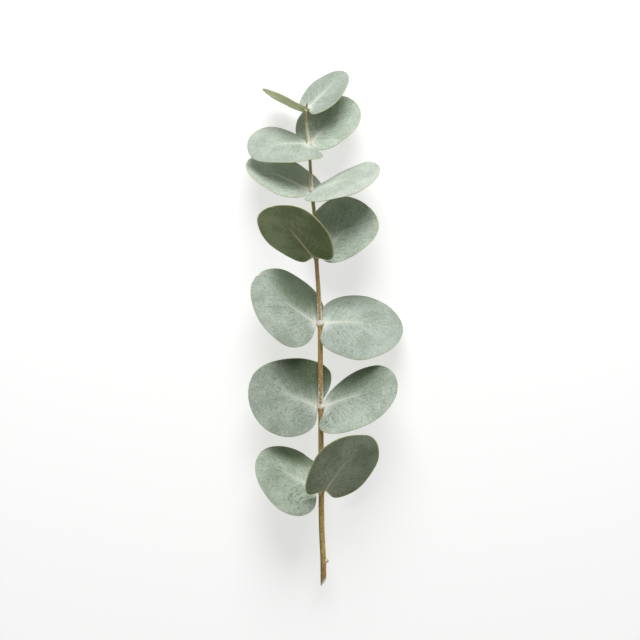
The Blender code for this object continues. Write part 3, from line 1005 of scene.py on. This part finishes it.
    def grid(self) -> tuple[Array, Array, Array, Array]:
        """Flat coordinates of the grid, and how far each point lies in from the margin.

        Rows fan out from the base: each joins a point of the midrib to the two points of the
        margin with the same turn, and the midrib's points start slowly.

        Returns:
            Distance along and across, distance in from the margin, and share from the base.
        """
        ends = ((-1.0, 0.05, 5.0), (1.0, 0.03, 6.0))
        u = 0.5 * (spaced(self.rows, ends) + 1.0)[:, None]
        v = spaced(self.columns + 1, ((-1.0, 0.03, 7.0), (0.0, 0.07, 3.0), (1.0, 0.03, 7.0)))
        u, v = np.broadcast_arrays(u, v[None, :])
        turn = math.pi - BASE_WIDTH - (math.pi - 2.0 * BASE_WIDTH) * u
        margin_x, margin_y = self.margin(turn, np.where(v < 0, -1.0, 1.0))
        first = self.margin(np.array(math.pi - BASE_WIDTH), np.array(1.0))[0]
        last = self.margin(np.array(BASE_WIDTH), np.array(1.0))[0]
        rib_x = first + (last - first) * u**VEIN_FAN
        share = np.abs(v)
        x = (1.0 - share) * rib_x + share * margin_x
        y = share * margin_y
        from_side = (1.0 - share) * np.hypot(margin_x - rib_x, margin_y)
        from_tip = (last - first) * (1.0 - u**VEIN_FAN)
        from_base = 6.0 * u
        return x, y, np.minimum(from_side, np.minimum(from_tip, from_base)), u

    @staticmethod
    def veins(x: Array, y: Array) -> tuple[Array, Array]:
        """Place of each point along and between the side veins.

        The veins of a half lie on lines through a focus beyond the midrib, so the first value
        is where such a line crosses the midrib. Behind the line through the base they fan out
        from the base, and the value falls with the angle.

        Args:
            x: flat distance along the midrib.
            y: flat distance across it.

        Returns:
            Where the vein starts on the midrib, and the distance out along it.
        """
        focus_x, focus_y = VEIN_FOCUS
        aside = np.abs(y)
        start = focus_x + (x - focus_x) * -focus_y / (aside - focus_y)
        first = math.atan2(-focus_y, -focus_x)
        fan = -BASE_FAN * np.maximum(np.arctan2(aside, x) - first, 0.0)
        start = np.where(start > 0.0, start, fan)
        return start, np.hypot(x - np.maximum(start, 0.0), aside)

    def middle(self, stem: StemLine, x: Array, y: Array) -> Array:
        """Points of the middle surface, pushed clear of the stem and of the ground.

        Args:
            stem: the stem that the leaf grows from.
            x: flat distance along the midrib.
            y: flat distance across it.

        Returns:
            Points, with the same shape and one more axis.
        """
        base, midrib, across, face = self.frame(stem)
        local = self.surface(x, y)
        points = (base + local[..., 0:1] * midrib + local[..., 1:2] * across
                  + local[..., 2:3] * face)
        flat = stem.push_clear(points.reshape(-1, 3), np.full(points.size // 3, self.thickness))
        points = flat.reshape(points.shape)
        points[..., 2] = kept_above(points[..., 2], 0.5 * self.thickness + FLOOR_CLEAR)
        return points

    def relief(self, flat: tuple[Array, Array, Array, Array], veins: tuple[Array, Array]
               ) -> tuple[Array, Array]:
        """How far each face lies from the middle surface.

        Both are half the thickness, which falls to nothing at the margin as a circle does. The
        midrib is sunk a little above and a ridge below, and the side veins are raised.

        Args:
            flat: what the grid gives.
            veins: what the veins give for it.

        Returns:
            Height of the upper face and depth of the lower one.
        """
        x, y, inwards, u = flat
        start, out = veins
        rim = np.clip(inwards / self.edge_radius, 0.0, 1.0)
        half = 0.5 * self.thickness * np.sqrt(1.0 - (1.0 - rim) ** 2)
        rib = bell(y, 0.0, self.rib_spread * (1.0 - 0.6 * u)) * (1.0 - 0.8 * u) * rim
        vein = np.cos(1.2 * start) ** 8 * rim * np.clip(1.0 - out / self.width, 0.0, 1.0)
        uneven = self.cockle * ripple(0.9 * x, 0.9 * y, 3.0 * self.node + self.side) * rim
        above = half + uneven - self.rib_sunk * rib + 0.6 * self.vein_height * vein
        below = half - uneven + self.rib_height * rib + self.vein_height * vein
        return above, below

    def build(self, stem: StemLine) -> bpy.types.Object:
        """Make the leaf: two faces off its middle surface, which share the points of the margin.

        Args:
            stem: the stem that the leaf grows from.

        Returns:
            The leaf as one closed mesh.
        """
        x, y, inwards, u = self.grid()
        start, out = self.veins(x, y)
        points = self.middle(stem, x, y)
        run = np.gradient(points, axis=0)
        over = np.gradient(points, axis=1)
        normal = self.side * unit(np.cross(run, over))
        above, below = self.relief((x, y, inwards, u), (start, out))
        upper = points + normal * above[..., None]
        under = points - normal * below[..., None]
        under[..., 2] = np.maximum(under[..., 2], FLOOR_TOUCH)
        top_index = np.arange(x.size).reshape(x.shape)
        under_index = top_index.copy()
        inner = under[1:-1, 1:-1].reshape(-1, 3)
        under_index[1:-1, 1:-1] = x.size + np.arange(len(inner)).reshape(
            x.shape[0] - 2, x.shape[1] - 2)
        top_faces = grid_faces(top_index, self.side < 0)
        under_faces = grid_faces(under_index, self.side > 0)
        spots = {BLADE_SPOT: np.stack([x, y, inwards], -1),
                 VEIN_SPOT: np.stack([start, out, 0.0 * out], -1)}
        both = {name: np.concatenate([rows.reshape(-1, 3), rows[1:-1, 1:-1].reshape(-1, 3)])
                for name, rows in spots.items()}
        finishes = [self.upper.material(f"{self.name}_upper_finish"),
                    self.under.material(f"{self.name}_under_finish")]
        return make_object(
            self.name + "_blade", np.concatenate([upper.reshape(-1, 3), inner]),
            np.concatenate([top_faces, under_faces]).tolist(),
            [BladeFace.UPPER.value] * len(top_faces) + [BladeFace.UNDER.value] * len(under_faces),
            finishes, both)


@dataclass(frozen=True)
class Stem:
    """The stem's skin: bark with node collars and leaf seats, and the slanting cut."""
    line: StemLine = StemLine()
    sides: int = 40
    step: float = 0.55
    cut_normal: tuple[float, float, float] = (0.72, -0.56, 0.40)
    cut_blend: float = 7.0
    cut_rings: int = 9
    seat_height: float = 0.55
    seat_width: float = 0.55       # half width of a leaf's seat, as an angle round the stem
    seat_length: float = 0.75
    collar_sides: tuple[tuple[float, float], ...] = ((0.55, 0.8), (math.pi - 0.5, 0.7))
    collar_above: float = 2.6      # how far a collar reaches up the stem, and down it
    collar_below: float = 1.0
    streak_length: float = 15.0
    tip_round: float = 0.5
    ridges: float = 5.0            # half the number of lengthwise ridges round the stem
    ridge_height: float = 0.035
    bump_height: float = 0.03

    def axes(self, along: Array) -> tuple[Array, Array]:
        """Directions to the right and upwards, square to the stem.

        Args:
            along: lengths along the stem.

        Returns:
            Two unit directions for each length.
        """
        direction = self.line.direction(along)
        right = unit(np.cross(direction, np.array([0.0, 0.0, 1.0])))
        return right, np.cross(right, direction)

    def seats(self, leaves: tuple[Blade, ...], along: Array, around: Array) -> Array:
        """Height of the pads that the leaves grow from: a bell round each leaf's base.

        Args:
            leaves: the leaves.
            along: lengths along the stem.
            around: angles round it, from the right upwards.

        Returns:
            Heights over the bark.
        """
        total = np.zeros(np.broadcast(along, around).shape)
        for leaf in leaves:
            place = math.radians(leaf.around)
            angle = place if leaf.side > 0 else math.pi - place
            away = np.angle(np.exp(1j * (around - angle)))
            pad = bell(away, 0.0, self.seat_width)
            pad = pad * bell(along, self.line.node_along(leaf.node), self.seat_length)
            total = np.maximum(total, pad)
        return self.seat_height * total

    def collars(self, along: Array, around: Array) -> Array:
        """Share of pale bloom: a short bell at each node, and a streak up either side of it.

        Args:
            along: lengths along the stem.
            around: angles round it, from the right upwards.

        Returns:
            Shares from 0 to 1.
        """
        total = np.zeros(np.broadcast(along, around).shape)
        turned = np.angle(np.exp(1j * around))
        side = sum(bell(turned, angle, width) for angle, width in self.collar_sides)
        for node in range(1, self.line.node_count + 1):
            off = along - self.line.node_along(node)
            reach = np.where(off > 0, self.collar_above, self.collar_below)
            ring = (0.7 + 0.3 * side) * bell(off, 0.0, reach)
            streak = 0.95 * side * bell(off, 0.0, self.streak_length) * (off > 0) * (node > 1)
            total = np.maximum(total, np.maximum(ring, streak))
        return total

    def skin(self, leaves: tuple[Blade, ...]) -> tuple[Array, Array]:
        """Rings of the bark, square to the centre line.

        Near the cut each of a ring's points slides along the stem by how far the cutting plane
        leans there, and the tip closes as a dome. Fine lengthwise ridges and low bumps uneven
        the bark.

        Args:
            leaves: the leaves that sit on it.

        Returns:
            Points, one row for each ring, and the vector that each carries for its material.
        """
        start, end = self.line.rows[0][1], self.line.rows[-1][1]
        count = int((end - start) / self.step)
        rings = np.linspace(0.0, end - start, count)[:, None]
        around = around_ring(self.sides)
        normal = unit(np.array(self.cut_normal))
        right, upwards = self.axes(np.array(start))
        lean = np.cos(around) * right.dot(normal) + np.sin(around) * upwards.dot(normal)
        slide = -lean * self.line.rows[0][3] / self.line.direction(np.array(start)).dot(normal)
        fall = np.clip(1.0 - rings / self.cut_blend, 0.0, 1.0) ** 2
        along = start + rings + slide * fall
        centre, _ = self.line.at(along)
        right, upwards = self.axes(along)
        radius = self.line.radius(along) + self.seats(leaves, along, around)
        ridges = np.sin(self.ridges * around + 0.9 * np.sin(0.11 * along)) ** 2
        bumps = ripple(0.55 * along, 2.0 * np.cos(around), 1.7)
        radius = radius + self.ridge_height * ridges + self.bump_height * bumps
        to_tip = np.clip((end - along) / self.tip_round, 0.0, 1.0)
        radius = radius * np.sqrt(1.0 - (1.0 - to_tip) ** 2 + 0.02)
        skin = centre + radius[..., None] * (np.cos(around)[..., None] * right
                                             + np.sin(around)[..., None] * upwards)
        return skin, np.stack([along, np.cos(around) + 0.0 * along,
                               self.collars(along, around)], -1)

    def build(self, leaves: tuple[Blade, ...]) -> bpy.types.Object:
        """Make the stem: its bark, smaller rings that fill the cut, and a closed tip.

        Args:
            leaves: the leaves that sit on it.

        Returns:
            The stem as one closed mesh.
        """
        skin, spots = self.skin(leaves)
        count, end = len(skin), self.line.rows[-1][1]
        share = np.linspace(1.0, 0.0, self.cut_rings)[1:-1, None, None]
        middle = skin[0].mean(axis=0)
        cut = middle + share * (skin[0] - middle)
        cut_spots = np.broadcast_to(share * [1.0, 0.0, 0.0], cut.shape)
        points = np.concatenate([skin.reshape(-1, 3), cut.reshape(-1, 3), [middle],
                                 [skin[-1].mean(axis=0)]])
        spot_rows = np.concatenate([spots.reshape(-1, 3), cut_spots.reshape(-1, 3),
                                    [[0.0, 0.0, 0.0]], [[end, 0.0, 1.0]]])
        index = np.arange(len(points) - 2).reshape(-1, self.sides)
        looped = np.concatenate([index, index[:, :1]], axis=1)
        bark = grid_faces(looped[:count], False).tolist()
        inwards = np.concatenate([looped[:1], looped[count:]])
        wood = grid_faces(inwards, True).tolist()
        heart, apex = len(points) - 2, len(points) - 1
        inner, last = looped[-1], looped[count - 1]
        wood += np.stack([inner[:-1], inner[1:], np.full(self.sides, heart)], -1).tolist()
        bark += np.stack([last[1:], last[:-1], np.full(self.sides, apex)], -1).tolist()
        slots = [StemFace.BARK.value] * len(bark) + [StemFace.CUT.value] * len(wood)
        finishes = [BarkFinish().material(), WoodFinish("cut_wood_finish").material()]
        return make_object("stem_bark_and_cut", points, bark + wood, slots, finishes,
                           {STEM_SPOT: spot_rows})


@dataclass(frozen=True)
class Stub:
    """Short stub on the right of the stem, where a side shoot was broken off."""
    along: float = -118.0
    radius: float = 0.95
    reach: float = 1.25
    turn: float = 24.0
    sides: int = 28
    rings: int = 22

    def build(self, line: StemLine) -> bpy.types.Object:
        """Make the stub.

        A profile is turned round its axis: it flares at the foot, narrows, ends in a rounded
        rim and dips in the middle of its end, and the rim is uneven.

        Args:
            line: the stem's centre line.

        Returns:
            The stub as one closed mesh.
        """
        centre, stem_radius = line.at(np.array(self.along))
        length = float(stem_radius) + self.reach
        t = np.linspace(0.0, 1.0, self.rings)[:, None]
        around = around_ring(self.sides)
        wall = np.clip(t / 0.6, 0.0, 1.0)
        inwards = np.clip((t - 0.6) / 0.4, 0.0, 1.0)
        flare = 1.0 + 0.35 * bell(wall, 0.5, 0.18)
        uneven = 1.0 + 0.06 * np.sin(3.0 * around + 0.6) + 0.04 * np.sin(5.0 * around)
        radius = self.radius * flare * uneven * (1.0 - inwards) + 0.004
        height = length * wall + 0.12 * np.sin(math.pi * inwards) - 0.22 * inwards**2
        height = height + 0.10 * np.sin(2.0 * around + 1.0) * (1.0 - inwards) * wall**3
        spots = np.stack([0.75 * (1.0 - inwards), wall, inwards], -1)
        finish = WoodFinish("stub_wood_finish", (252, 245, 222), (218, 200, 162), (200, 180, 134))
        return turned_piece("side_stub", centre, math.radians(self.turn), height, radius, radius,
                            spots, finish.material())


@dataclass(frozen=True)
class Bud:
    """Closed bud at the tip of the stem: two small leaves pressed together."""
    length: float = 3.4
    width: float = 1.25
    depth: float = 0.9
    turn: float = 14.0     # towards the right of the stem's direction
    sunk: float = 0.05
    rings: int = 30
    sides: int = 32

    def build(self, line: StemLine) -> bpy.types.Object:
        """Make the bud.

        The radius grows and falls as a skewed sine to a point, and a groove on either side
        parts the two leaves.

        Args:
            line: the stem's centre line.

        Returns:
            The bud as one closed mesh.
        """
        end = line.rows[-1][1]
        tip, _ = line.at(np.array(end))
        t = np.linspace(0.0, 1.0, self.rings)[:, None]
        around = around_ring(self.sides)
        swell = np.sin(math.pi * np.clip(t, 0.02, 0.985) ** 0.62) ** 0.8
        groove = 1.0 - 0.22 * bell(np.sin(around), 0.0, 0.28) * np.sin(math.pi * t)
        out = 0.5 * swell * groove
        return turned_piece("tip_bud_scales", tip, math.radians(90.0 - self.turn),
                            self.length * t - self.sunk, self.width * out, self.depth * out,
                            np.stack([t, t, t], -1), BudFinish().material())


LEAVES = (
    # darker patch along the top of the upper face: painted shade, partly thinner wax
    Blade(1, -1, 29, 6, 38, 34.5, 42, 6.5, 4, around=-25, curl_up=-46, curl_down=2,
          lean_up=-7, lean_down=-3, wave_start=0.5,
          upper=replace(OLD, bloom=(178, 190, 174), green=(146, 160, 140),
                        rubbed_at=(7.0, -13.0), rubbed_size=12.0, rubbed_share=0.7,
                        bare=(84, 104, 66), bare_and_shade_at=(20.0, 18.0), bare_and_shade_size=16.0,
                        bare_and_shade_share=0.95)),
    Blade(1, 1, 56, 24, 128, 38, 41, 8, 9, around=35, curl_up=-28, curl_down=12,
          lean_up=2, lean_down=9, wave_start=2.0, upper=OLD, under=DULL_UNDERSIDE),
    # darker patch on the up half near the stem: painted shade, partly thinner wax
    Blade(2, -1, 23, 6, 16, 37, 42.3, 2, 4, around=-60, curl_up=14, curl_down=-4,
          lean_up=-8, wave_start=1.0, skew=0.01,
          upper=replace(OLD, bare=(80, 98, 67), bare_and_shade_at=(11.0, 18.0),
                        bare_and_shade_size=22.0, bare_and_shade_share=1.0)),
    # dark patch along the up half's top margin: painted shade, partly thinner wax
    Blade(2, 1, 25, 20, 36, 40, 38, 0.5, 9, around=35, droop=10, sweep=-15, crease=-14,
          curl_up=-34, curl_down=42, fade=0.9, lean_up=2, lean_down=-2, wave_start=3.0,
          skew=0.03,
          upper=replace(GROWN, rubbed_at=(1.0, -8.0), rubbed_size=6.5, rubbed_share=0.9,
                        bare=(56, 73, 46), bare_and_shade_at=(18.0, 18.0), bare_and_shade_size=24.0,
                        bare_and_shade_share=1.0)),
    # darker patch on the up half near the stem: painted shade, partly thinner wax
    Blade(3, -1, 35, 10, 34.5, 39, 41.5, 3, 3, around=-25, curl_up=-32, curl_down=-10,
          lean_up=-1.5, lean_down=-4, wave=0.45, wave_start=4.0, nick=0.5,
          upper=replace(GROWN, bare=(84, 102, 70), bare_and_shade_at=(15.0, 19.0),
                        bare_and_shade_size=27.0, bare_and_shade_share=0.95)),
    Blade(3, 1, 9, -7.5, 32, 41, 40.5, 0.5, 7.5, around=35, droop=18, sweep=-30, crease=-9,
          curl_up=-20, curl_down=-10, fade=0.9, lean_up=-1, lean_down=2, wave_start=0.0,
          upper=replace(PALE, rubbed_at=(13.0, -12.0), rubbed_size=9.0, rubbed_share=0.4)),
    Blade(4, -1, 50, 28, 129, 36, 39, 5.5, 9, around=35, curl_up=-5, curl_down=10,
          lean_up=5, lean_down=6, wave_start=5.0, upper=GROWN),
    Blade(4, 1, 47, 0, 32, 35.5, 38.5, 5, 1, around=-25, droop=4, curl_up=5, curl_down=28,
          lean_up=4, lean_down=5, wave_start=2.5, skew=-0.05, upper=GROWN),
    # bloom lighter than the pale finish: painted light that eases the shadow of leaf 6 on this
    # leaf; its darker patch near the stem is painted shade, partly thinner wax
    Blade(5, -1, 27, 0, 57, 34.5, 35, 8, 1, around=-25, droop=4, curl_up=10, curl_down=2,
          lean_down=1, wave_start=1.5,
          upper=replace(PALE, bloom=(188, 199, 188), green=(162, 175, 158),
                        bare=(122, 138, 104), bare_and_shade_at=(13.0, 7.0), bare_and_shade_size=17.0,
                        bare_and_shade_share=0.55, rib=(230, 233, 210))),
    Blade(5, 1, 18, 23, 69, 36, 34, 0.5, 7, around=35, droop=8, curl_up=-22, curl_down=-8,
          twist=15, fade=0.9, lean_up=-2, wave_start=3.5,
          upper=replace(YOUNG, bloom=(190, 199, 189), green=(168, 178, 165))),
    Blade(6, -1, 6, 25, 56, 31, 31, 0.5, 9, around=60, droop=40, crease=-2, curl_up=0,
          curl_down=2, twist=10, fade=0.9, lean_up=4, lean_down=-3, wave_start=0.8,
          upper=YOUNG),
    # bloom lighter than the pale finish: painted light that eases the shadow of leaf 7 on this
    # leaf
    Blade(6, 1, 50, -8.5, 35, 32, 33.5, 3, 2.5, around=-70, droop=4, curl_up=10,
          curl_down=16, lean_down=2, wave_start=4.4,
          upper=replace(PALE, bloom=(190, 203, 191), green=(164, 178, 160))),
    Blade(7, -1, 25, 8, 93, 23, 24, 3.5, 5, around=20, curl_up=-6, curl_down=-6,
          wave=0.15, wave_start=2.2, upper=YOUNG, under=FRESH_UNDERSIDE),
    # darker than the young finish: painted shade, as this leaf faces the light squarely
    Blade(7, 1, 47, -6, 51, 27, 27, 3, 3.5, around=-20, droop=4, curl_up=-3, curl_down=-3,
          wave=0.2, wave_start=1.2,
          upper=replace(YOUNG, bloom=(162, 172, 161), green=(141, 152, 139))),
)


@dataclass(frozen=True)
class Studio:
    """Plain pale floor, soft light from above the tip of the branch, and a camera straight above.

    The camera stands over the middle of the photograph's frame, and two of its pixels are a
    millimetre at the height of the stem.
    """
    centre: tuple[float, float] = (-2.5, 3.5)
    camera_height: float = 900.0
    lens: float = 99.45
    floor_size: float = 12.0
    floor_colour: Colour = (192, 192, 191)
    floor_glow: float = 0.62
    key_power: float = 6.7
    key_size: float = 0.55
    key_beyond: float = 0.64      # how far past the middle of the branch, towards its tip
    key_height: float = 0.49
    sky: float = 0.20

    def floor(self) -> bpy.types.Object:
        """Make the floor: one wide plane just under the branch, pale and softly bright.

        Returns:
            The floor's object.
        """
        half = 0.5 * self.floor_size
        mesh = bpy.data.meshes.new("floor")
        corners = [(-half, -half, 0.0), (half, -half, 0.0), (half, half, 0.0), (-half, half, 0.0)]
        mesh.from_pydata(corners, [], [(0, 1, 2, 3)])
        shader = Shader("floor_paint")
        colour = linear(self.floor_colour)
        shader.surface.inputs["Base Color"].default_value = colour
        shader.surface.inputs["Roughness"].default_value = 0.9
        shader.surface.inputs["Specular IOR Level"].default_value = 0.1
        shader.surface.inputs["Emission Color"].default_value = (1.0, 1.0, 1.0, 1.0)
        shader.surface.inputs["Emission Strength"].default_value = self.floor_glow
        mesh.materials.append(shader.material)
        obj = bpy.data.objects.new("floor", mesh)
        bpy.context.scene.collection.objects.link(obj)
        return obj

    def light(self) -> None:
        """Hang the soft light and set the even light from all around.

        The light stands near the tip of the branch, turned towards its middle, so the lower
        leaves get less of it and from lower down. Colours are shown as they are, without a
        film curve, so that the pale floor keeps its tone.
        """
        lamp = bpy.data.lights.new("window_light", "AREA")
        lamp.shape = "DISK"
        lamp.size = self.key_size
        lamp.energy = self.key_power
        key = bpy.data.objects.new("window_light", lamp)
        key.location = (0.0, self.key_beyond, self.key_height)
        key.rotation_euler = (-math.atan2(self.key_beyond, self.key_height), 0.0, 0.0)
        bpy.context.scene.collection.objects.link(key)
        world = bpy.context.scene.world or bpy.data.worlds.new("studio")
        bpy.context.scene.world = world
        world.use_nodes = True
        background = world.node_tree.nodes["Background"]
        background.inputs["Color"].default_value = (1.0, 1.0, 1.0, 1.0)
        background.inputs["Strength"].default_value = self.sky
        bpy.context.scene.view_settings.view_transform = "Standard"

    def camera(self) -> None:
        """Set the camera straight above, looking down, with the stem's tip up the picture."""
        data = bpy.data.cameras.new("camera_above")
        data.lens = self.lens
        data.sensor_width = 36.0
        data.clip_end = 20.0
        camera = bpy.data.objects.new("camera_above", data)
        camera.location = (self.centre[0] * MM, self.centre[1] * MM, self.camera_height * MM)
        bpy.context.scene.collection.objects.link(camera)
        bpy.context.scene.camera = camera


def main() -> None:
    """Build the studio, the stem, the stub, the leaves and the bud, and report each piece."""
    logging.basicConfig(level=logging.INFO, format="%(message)s")
    studio = Studio()
    studio.floor()
    studio.light()
    studio.camera()
    line = StemLine()
    stem = Stem(line).build(LEAVES)
    stub = Stub().build(line)
    bud = Bud().build(line)
    made = [(stem, "stem", "stem_bark"), (stub, "", "stem_bark"), (bud, "tip_bud", "bud_scale")]
    made += [(leaf.build(line), leaf.name, "leaf_blade") for leaf in LEAVES]
    for piece, node, slot in made:
        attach(piece, "root")
        if node:
            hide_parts(node)
        LOG.info("%s: %d faces", piece.name, len(piece.data.polygons))


if __name__ == "__main__":
    main()
